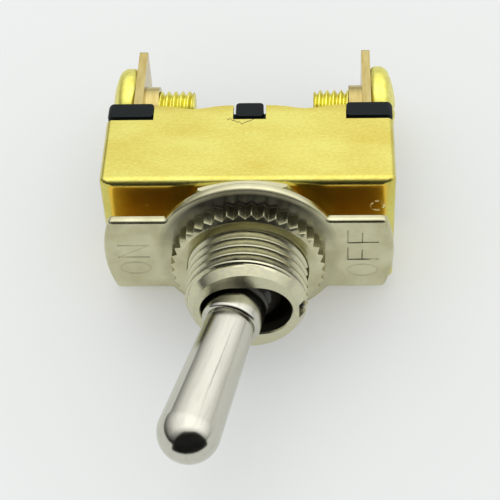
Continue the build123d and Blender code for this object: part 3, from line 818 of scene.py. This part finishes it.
class SWITCH_OT_bushing(bpy.types.Operator):
    """Cut the bushing's thread and keyway, and open its mouth"""

    bl_idname = "switch.bushing"
    bl_label = "Bushing"

    def execute(self, context):
        s = sizes_mm()
        steps = s.steps
        low, high = box_mm("bushing")
        start = box_mm("knurled_nut")[0].y + s.thread_depth
        flange_front = high.y - s.flange
        key_floor = s.thread_radius - s.key_depth
        bm = bmesh.new()
        thread(
            bm, s.thread_radius, s.thread_depth, s.thread_pitch, start, low.y, s.bushing_chamfer,
            s.bushing_lead, steps, 4, THREAD_PHASE,
        )
        key_steps = round(atan2(s.key_width / 2, s.thread_radius) / (2 * pi / steps))
        for v in bm.verts:
            step = round(atan2(v.co.z, v.co.x) / (2 * pi / steps))
            if abs(step) > key_steps:
                continue
            radius = hypot(v.co.x, v.co.z)
            v.co.z = s.key_width / 2 * max(-1, min(1, step / (key_steps - 1)))
            v.co.x = sqrt(radius**2 - v.co.z**2) if abs(step) == key_steps else key_floor
        front_rim = rim_at(bm, low.y)
        back_rim = rim_at(bm, start)
        mouth_end = s.mouth_width / 2
        spread_x = (s.mouth_length - s.mouth_width) / 2
        lip = loop(bm, mouth_end + s.mouth_edge, low.y, steps, spread_x)
        bridge(bm, front_rim, lip)
        mouth = loop(bm, mouth_end, low.y + s.mouth_edge, steps, spread_x)
        bridge(bm, lip, mouth)
        mouth = pull(bm, mouth, (0, s.mouth_wall - s.mouth_edge, 0))
        bore = loop(bm, s.bore_radius, low.y + s.mouth_wall, steps)
        bridge(bm, mouth, bore)
        bore = pull(bm, bore, (0, high.y - low.y - s.mouth_wall, 0))
        back_rim = pull(bm, back_rim, (0, flange_front - start, 0))
        corner = s.flange_corner
        flange = loop(bm, corner, flange_front, steps, high.x - corner, high.z - corner)
        bridge(bm, back_rim, flange)
        flange = pull(bm, flange, (0, s.flange, 0))
        bridge(bm, flange, bore)
        outward(bm)
        fit_piece(mesh_object("threaded_bushing", bm), "bushing", nickel_plated_zinc(), 28.0)
        return {"FINISHED"}


class SWITCH_OT_hex_nut(bpy.types.Operator):
    """Turn the hex nut's two cones and cut its six flats"""

    bl_idname = "switch.hex_nut"
    bl_label = "Hex nut"

    def execute(self, context):
        s = sizes_mm()
        low, high = box_mm("hex_nut")
        middle = (low.y + high.y) / 2
        bore = s.thread_radius - s.thread_depth / 2
        points = [(bore, low.y), (s.hex_face, low.y), (s.hex_ridge, middle), (s.hex_face, high.y)]
        points += [(bore, high.y), (bore, low.y)]
        bm = bmesh.new()
        lathe(bm, points, s.steps)
        nut = mesh_object("chamfered_hex_nut", bm)
        flats = bmesh.new()
        turn = Matrix.Rotation(pi / 2, 4, "X") @ Matrix.Rotation(HEX_TURN, 4, "Z")
        bmesh.ops.create_cone(
            flats, cap_ends=True, segments=6, radius1=s.hex_corner, radius2=s.hex_corner,
            depth=2 * (high.y - low.y), matrix=Matrix.Translation((0, middle, 0)) @ turn,
        )
        carve(nut, flats, "INTERSECT")
        fit_piece(nut, "hex_nut", nickel_plate())
        return {"FINISHED"}


class SWITCH_OT_knurled_nut(bpy.types.Operator):
    """Round the crests of the face nut's teeth and break their back edge"""

    bl_idname = "switch.knurled_nut"
    bl_label = "Knurled nut"

    def execute(self, context):
        s = sizes_mm()
        back = box_mm("knurled_nut")[1].y
        bm = solid_copy("knurled_nut")
        cut_across(bm, (0, back - s.knurl_break, 0), (0, 1, 0))
        for v in bm.verts:
            radius = hypot(v.co.x, v.co.z)
            if v.co.y > back - 0.001 and radius > s.knurl_root:
                v.co.x *= 1 - s.knurl_break / radius
                v.co.z *= 1 - s.knurl_break / radius
        round_off(bm, s.edge, 2, 25)
        fit_piece(mesh_object("knurled_face_nut", bm), "knurled_nut", nickel_plate())
        return {"FINISHED"}


def stroke(bm, first, last, width, depth):
    """A stroke of a letter as a bar with a diamond section, in the letter's own plane."""
    run = Vector(last) - Vector(first)
    turn = Matrix.Rotation(atan2(run.y, run.x), 4, "Z")
    middle = Matrix.Translation((*((Vector(first) + Vector(last)) / 2), 0))
    size = Matrix.Diagonal((run.length + width / 2, width, 2 * depth, 1))
    diamond = Matrix.Diagonal((1, sqrt(0.5), sqrt(0.5), 1)) @ Matrix.Rotation(pi / 4, 4, "X")
    return bmesh.ops.create_cube(bm, size=1.0, matrix=middle @ turn @ size @ diamond)["verts"]


def letter(bm, kind, left, width, height, line, depth):
    """One stamped letter from its strokes, its foot on the base line."""
    right = left + width
    runs = {
        "N": [((left, 0), (left, height)), ((left, height), (right, 0)), ((right, 0), (right, height))],
        "F": [
            ((left, 0), (left, height)),
            ((left, height), (right, height)),
            ((left, height * BAR_HEIGHT), (right - width * BAR_SHORT, height * BAR_HEIGHT)),
        ],
        "O": [],
    }[kind]
    verts = [v for first, last in runs for v in stroke(bm, first, last, line, depth)]
    if kind == "O":
        section = bmesh.ops.create_circle(
            bm, segments=4, radius=1.0,
            matrix=Matrix.Translation((width / 2, 0, 0)) @ Matrix.Rotation(pi / 2, 4, "X")
            @ Matrix.Diagonal((line / 2, depth, 1, 1)),
        )["verts"]
        ring = list({e for v in section for e in v.link_edges})
        before = set(bm.verts) - set(section)
        spin(bm, section + ring, 36, 2 * pi, axis=(0, 0, 1), full=True)
        verts = [v for v in bm.verts if v not in before]
        for v in verts:
            v.co.y *= height / width
        bmesh.ops.translate(bm, vec=(left + width / 2, height / 2, 0), verts=verts)
    return verts


class SWITCH_OT_legend_plate(bpy.types.Operator):
    """Stamp ON and OFF into the legend plate"""

    bl_idname = "switch.legend_plate"
    bl_label = "Legend plate"

    def execute(self, context):
        s = sizes_mm()
        front = box_mm("legend_plate")[0].y
        bm = solid_copy("legend_plate")
        round_off(bm, s.plate_edge, 5, 40)
        plate = mesh_object("stamped_legend_plate", bm)
        # Each word reads upwards, its letters' tops towards -X
        upwards = Matrix(((0, -1, 0, 0), (0, 0, -1, 0), (1, 0, 0, 0), (0, 0, 0, 1)))
        words = bmesh.new()
        for word, foot_x, left in WORDS:
            place = Matrix.Translation((foot_x, front - s.stroke_depth / 10, 0)) @ upwards
            for kind in word:
                verts = letter(
                    words, kind, left, s.letter_width, s.letter_height, s.stroke_width, s.stroke_depth
                )
                bmesh.ops.transform(words, matrix=place, verts=verts)
                left += s.letter_width + s.letter_gap
        outward(words)
        carve(plate, words)
        fit_piece(plate, "legend_plate", nickel_plate(), 22.0)
        return {"FINISHED"}


class SWITCH_OT_lever(bpy.types.Operator):
    """Turn the lever in one piece and lean it to the ON side"""

    bl_idname = "switch.lever"
    bl_label = "Lever"

    def execute(self, context):
        s = sizes_mm()
        tip_centre = s.handle_end - s.handle_tip
        neck_join = sqrt(s.ball_radius ** 2 - s.neck_radius ** 2)
        tail_join = -sqrt(s.ball_radius ** 2 - s.tail_radius ** 2)
        ball_first = degrees(atan2(tail_join, s.tail_radius))
        ball_last = degrees(atan2(neck_join, s.neck_radius))
        shoulder = s.shoulder_at
        groove_end = shoulder + s.groove_width
        soft = s.shoulder_round
        root = s.edge
        points = [(0, -s.tail_length), (s.tail_radius, -s.tail_length)]
        points += arc((0, 0), s.ball_radius, ball_first, ball_last, 24)
        points += [
            *arc((s.neck_radius - soft, shoulder - soft), soft, 0, 90, 6),
            (s.groove_radius, shoulder),
            (s.groove_radius, groove_end),
            (s.handle_root - root, groove_end),
            (s.handle_root, groove_end + root),
        ]
        points += arc((0, tip_centre), s.handle_tip, 0, 90, 24)
        bm = bmesh.new()
        lathe(bm, points, s.steps)
        lean, pivot = lever_place()
        place = Matrix.Translation(pivot) @ Matrix.Rotation(pi - lean, 4, "Z")
        bmesh.ops.transform(bm, matrix=place, verts=bm.verts)
        fit_piece(mesh_object("turned_lever", bm), "lever", turned_nickel())
        return {"FINISHED"}


class SWITCH_OT_terminals(bpy.types.Operator):
    """Soften the stamped terminals and the rivets that hold them"""

    bl_idname = "switch.terminals"
    bl_label = "Terminals"

    def execute(self, context):
        brass = brass_strip()
        s = sizes_mm()
        names = {
            "left_terminal": "left_brass_strip",
            "right_terminal": "right_brass_strip",
            "terminal_rivets": "brass_rivets",
        }
        for node, name in names.items():
            bm = solid_copy(node)
            end = box_mm(node)[1].y
            outline = [
                e
                for e in bm.edges
                if max(v.co.y for v in e.verts) > end - 1
                and sum(abs(f.normal.x) > 0.99 for f in e.link_faces) == 1
            ]
            bevel(bm, outline, s.strip_edge, 4)
            round_off(bm, s.edge, 2, 40)
            fit_piece(mesh_object(name, bm), node, brass)
        return {"FINISHED"}


class SWITCH_OT_terminal_screws(bpy.types.Operator):
    """Cut the terminal screws' threads and slot their heads"""

    bl_idname = "switch.terminal_screws"
    bl_label = "Terminal screws"

    def execute(self, context):
        brass = brass_screw()
        for side, hand in (("left", -1), ("right", 1)):
            node = f"{side}_terminal_screw"
            self.make(node, f"{side}_threaded_screw", hand, brass)
        return {"FINISHED"}

    def make(self, node, name, hand, brass):
        """One screw, turned round Y with its head at the far end, then laid along X."""
        s = sizes_mm()
        low, high = box_mm(node)
        head_radius = (high.z - low.z) / 2
        shank = high.x - low.x - s.head_height
        soft = s.head_round
        rim = head_radius - soft
        fall = s.head_height - s.head_rim
        # The dome meets the rounded rim without a step
        dome = (rim**2 + fall**2 - soft**2) / (2 * (fall - soft))
        half = degrees(atan2(rim, dome - fall))
        bm = bmesh.new()
        thread(
            bm, s.screw_radius, s.screw_depth, s.screw_pitch, 0, -shank, s.screw_depth / 2,
            s.screw_depth / 2, s.steps // 2, 2,
        )
        bmesh.ops.holes_fill(bm, edges=rim_at(bm, -shank), sides=0)
        points = [(s.screw_radius - s.screw_depth, 0)]
        points += arc((head_radius - soft / 2, soft / 2), soft / 2, -90, 0, 6)
        points += arc((rim, s.head_rim), soft, 0, 90 - half, 10)
        points += arc((0, s.head_height - dome), dome, 90 - half, 90, 12)
        head = bmesh.new()
        lathe(head, points, s.steps // 2)
        mesh = bpy.data.meshes.new("head")
        head.to_mesh(mesh)
        head.free()
        bm.from_mesh(mesh)
        bpy.data.meshes.remove(mesh)
        bmesh.ops.remove_doubles(bm, verts=bm.verts, dist=0.002)
        outward(bm)
        outer = high.x if hand > 0 else -low.x
        axis_y = (low.y + high.y) / 2
        place = Matrix.Translation((hand * (outer - s.head_height), axis_y, 0))
        turn = Matrix.Rotation(-hand * pi / 2, 4, "Z")
        bmesh.ops.transform(bm, matrix=place @ turn, verts=bm.verts)
        screw = mesh_object(name, bm)
        slot = bmesh.new()
        bmesh.ops.create_cube(slot, size=1.0)
        bmesh.ops.scale(slot, vec=(2 * s.slot_depth, s.slot_width, 3 * head_radius), verts=slot.verts)
        place = Matrix.Translation((hand * outer, axis_y, 0)) @ Matrix.Rotation(hand * SLOT_TURN, 4, "X")
        bmesh.ops.transform(slot, matrix=place, verts=slot.verts)
        carve(screw, slot)
        fit_piece(screw, node, brass)


class SWITCH_OT_mechanism(bpy.types.Operator):
    """Finish the working pieces inside the case"""

    bl_idname = "switch.mechanism"
    bl_label = "Mechanism"

    def execute(self, context):
        finish = context.scene.switch_finish
        steel = inner_metal("Ground steel", finish.steel, 0.25, 0.4)
        silver = inner_metal("Silver, cold headed", finish.silver, 0.3, 0.5)
        finishes = {
            "pivot_pin": steel,
            "plunger_spring": inner_metal("Spring steel wire", finish.steel, 0.3, 0.3),
            "rocker": inner_metal("Copper, stamped", finish.copper, 0.3, 0.8),
            "moving_contact": silver,
            "fixed_contact": silver,
            "fulcrum": brass_strip(),
            "insulating_liner": inner_plastic("Vulcanised fibre", finish.fibre, 0.6, 0.6),
            "plunger": inner_plastic("Nylon, moulded", finish.nylon, 0.35, 1.0),
        }
        for node, material in finishes.items():
            mesh = NODES[node].data
            mesh.materials.clear()
            mesh.materials.append(material)
        return {"FINISHED"}


# Stage


def floor_material(tone):
    """Matt studio paper, lit from below as well as above: even and pale, with light shadows."""
    material = surface("Studio paper")[0]
    look = {"Base Color": shade(tone, 0.72), "Emission Color": tone, "Emission Strength": 0.28}
    return finished(material, look | {"Roughness": 0.9, "Specular IOR Level": 0.1})


def cloth_material():
    """Matt black cloth in front of the table: it shows in the metal alone."""
    material = surface("Dark cloth")[0]
    look = {"Base Color": linear("#080808"), "Roughness": 1.0, "Specular IOR Level": 0.0}
    return finished(material, look)


def studio_world(tone):
    """A pale room for the eye, a bright ceiling over a dim horizon for the metal, and even fill."""
    world = bpy.data.worlds.get("Studio") or bpy.data.worlds.new("Studio")
    bpy.context.scene.world = world
    world.use_nodes = True
    tree = world.node_tree
    tree.nodes.clear()
    path = add(tree, "LightPath").outputs
    way = add(tree, "TexCoord").outputs["Generated"]
    x, y, z = add(tree, "SeparateXYZ", {"Vector": way}).outputs
    # The room is brightest overhead, a little dimmer towards -X, and dark in front, where the camera stands
    high = add(tree, "Math", {0: z, 1: 1.55, 2: 0.27}, operation="MULTIPLY_ADD")
    sided = add(tree, "Math", {0: x, 1: 0.35, 2: high}, operation="MULTIPLY_ADD")
    behind = add(tree, "MapRange", {"Value": y, "From Min": -0.78, "From Max": -0.3, "To Min": 0.08})
    white = (1, 1, 1, 1)
    fill = add(tree, "Background", {"Color": white, "Strength": 0.95})
    seen = add(tree, "Background", {"Color": tone, "Strength": 1.0})
    gloss = add(tree, "Background", {"Color": white, "Strength": product(tree, sided, behind)})
    rays = {0: path["Is Glossy Ray"], 1: path["Is Transmission Ray"]}
    shiny = add(tree, "Math", rays, operation="MAXIMUM")
    lit = add(tree, "MixShader", {0: shiny, 1: fill, 2: gloss})
    shown = add(tree, "MixShader", {0: path["Is Camera Ray"], 1: lit, 2: seen})
    add(tree, "OutputWorld", {"Surface": shown})


def area_lamp(name, place, aim, size, power):
    """A soft square lamp at a place, in metres, aimed at a point."""
    data = bpy.data.lights.new(name, "AREA")
    data.size = size
    data.energy = power
    lamp = bpy.data.objects.new(name, data)
    bpy.context.scene.collection.objects.link(lamp)
    lamp.location = place
    lamp.visible_glossy = False
    lamp.rotation_euler = (Vector(aim) - Vector(place)).to_track_quat("-Z", "Y").to_euler()


class SWITCH_OT_stage(bpy.types.Operator):
    """Lay the pale floor, light it softly and set the camera"""

    bl_idname = "switch.stage"
    bl_label = "Stage"

    def execute(self, context):
        scene = context.scene
        scene.view_settings.view_transform = "Standard"
        self.camera(scene)
        # The switch lies on its side, on the legend plate's rim and the base's back edge
        plate_low, plate_high = box_mm("legend_plate")
        base_low, base_high = box_mm("base")
        front = Vector((0, (plate_low.y + plate_high.y) / 2, plate_low.z))
        rear = Vector((0, base_high.y, base_low.z))
        slope = atan2(rear.z - front.z, rear.y - front.y)
        bm = bmesh.new()
        bmesh.ops.create_grid(bm, x_segments=1, y_segments=1, size=FLOOR_HALF)
        bmesh.ops.transform(
            bm, matrix=Matrix.Translation(front) @ Matrix.Rotation(slope, 4, "X"), verts=bm.verts
        )
        floor = mesh_object("studio_floor", bm)
        floor.data.materials.append(floor_material(scene.switch_finish.floor))
        studio_world(scene.switch_finish.floor)
        area_lamp("Soft top lamp", (-0.12, 0.08, 0.5), (0, 0, 0), 0.4, 0.3)
        self.cloth(plate_low.z)
        return {"FINISHED"}

    def camera(self, scene):
        """Set the camera at the photograph's viewing angle."""
        outwards = -cos(CAMERA_AZIMUTH) * cos(CAMERA_ELEVATION)
        back = Vector((sin(CAMERA_AZIMUTH) * cos(CAMERA_ELEVATION), outwards, sin(CAMERA_ELEVATION)))
        level = Vector((0, 0, 1)).cross(back).normalized()
        upright = back.cross(level)
        right = cos(CAMERA_ROLL) * level + sin(CAMERA_ROLL) * upright
        up = -sin(CAMERA_ROLL) * level + cos(CAMERA_ROLL) * upright
        data = bpy.data.cameras.new("Camera")
        data.sensor_width = 36.0
        data.lens = FOCAL_PIXELS / PICTURE_PIXELS * data.sensor_width
        data.clip_start = 0.01
        camera = bpy.data.objects.new("Camera", data)
        scene.collection.objects.link(camera)
        place = (CAMERA_RIGHT * right + CAMERA_UP * up + CAMERA_AWAY * back) * MM
        camera.matrix_world = Matrix.Translation(place) @ Matrix((right, up, back)).transposed().to_4x4()
        scene.camera = camera

    def cloth(self, floor_z):
        """Hang an arched dark cloth in front, which only the metal mirrors."""
        bm = bmesh.new()
        bmesh.ops.create_cone(
            bm, segments=64, radius1=CLOTH_RADIUS, radius2=CLOTH_RADIUS, depth=CLOTH_HEIGHT,
            matrix=Matrix.Translation((0, 0, floor_z + CLOTH_HEIGHT / 2)),
        )
        ends = [v for v in bm.verts if v.co.y > 0 or abs(v.co.x) > CLOTH_SPAN]
        bmesh.ops.delete(bm, geom=ends, context="VERTS")
        for v in bm.verts:
            if v.co.z > floor_z + 1:
                v.co.z -= CLOTH_HEIGHT * (v.co.x / CLOTH_SPAN) ** 4
        cloth = mesh_object("dark_cloth", bm)
        cloth.data.materials.append(cloth_material())
        cloth.visible_camera = False
        cloth.visible_diffuse = False
        cloth.visible_shadow = False


class SWITCH_PT_panel(bpy.types.Panel):
    """Pieces of the toggle switch"""

    bl_idname = "SWITCH_PT_panel"
    bl_label = "Toggle switch"
    bl_space_type = "VIEW_3D"
    bl_region_type = "UI"
    bl_category = "Switch"

    def draw(self, context):
        for operator in PIECES:
            self.layout.operator(operator.bl_idname)
        for group in (context.scene.switch_sizes, context.scene.switch_finish):
            for key in type(group).__annotations__:
                self.layout.prop(group, key)


PIECES = (
    SWITCH_OT_stage,
    SWITCH_OT_case,
    SWITCH_OT_base,
    SWITCH_OT_bushing,
    SWITCH_OT_hex_nut,
    SWITCH_OT_legend_plate,
    SWITCH_OT_knurled_nut,
    SWITCH_OT_lever,
    SWITCH_OT_terminals,
    SWITCH_OT_terminal_screws,
    SWITCH_OT_mechanism,
)
CLASSES = (SwitchSizes, SwitchFinish, *PIECES, SWITCH_PT_panel)


def register():
    for cls in CLASSES:
        bpy.utils.register_class(cls)
    bpy.types.Scene.switch_sizes = PointerProperty(type=SwitchSizes)
    bpy.types.Scene.switch_finish = PointerProperty(type=SwitchFinish)


def unregister():
    del bpy.types.Scene.switch_sizes
    del bpy.types.Scene.switch_finish
    for cls in reversed(CLASSES):
        bpy.utils.unregister_class(cls)


def main():
    register()
    bpy.ops.switch.stage()
    bpy.ops.switch.case()
    bpy.ops.switch.base()
    bpy.ops.switch.bushing()
    bpy.ops.switch.hex_nut()
    bpy.ops.switch.legend_plate()
    bpy.ops.switch.knurled_nut()
    bpy.ops.switch.lever()
    bpy.ops.switch.terminals()
    bpy.ops.switch.terminal_screws()
    bpy.ops.switch.mechanism()


if __name__ == "__main__":
    main()
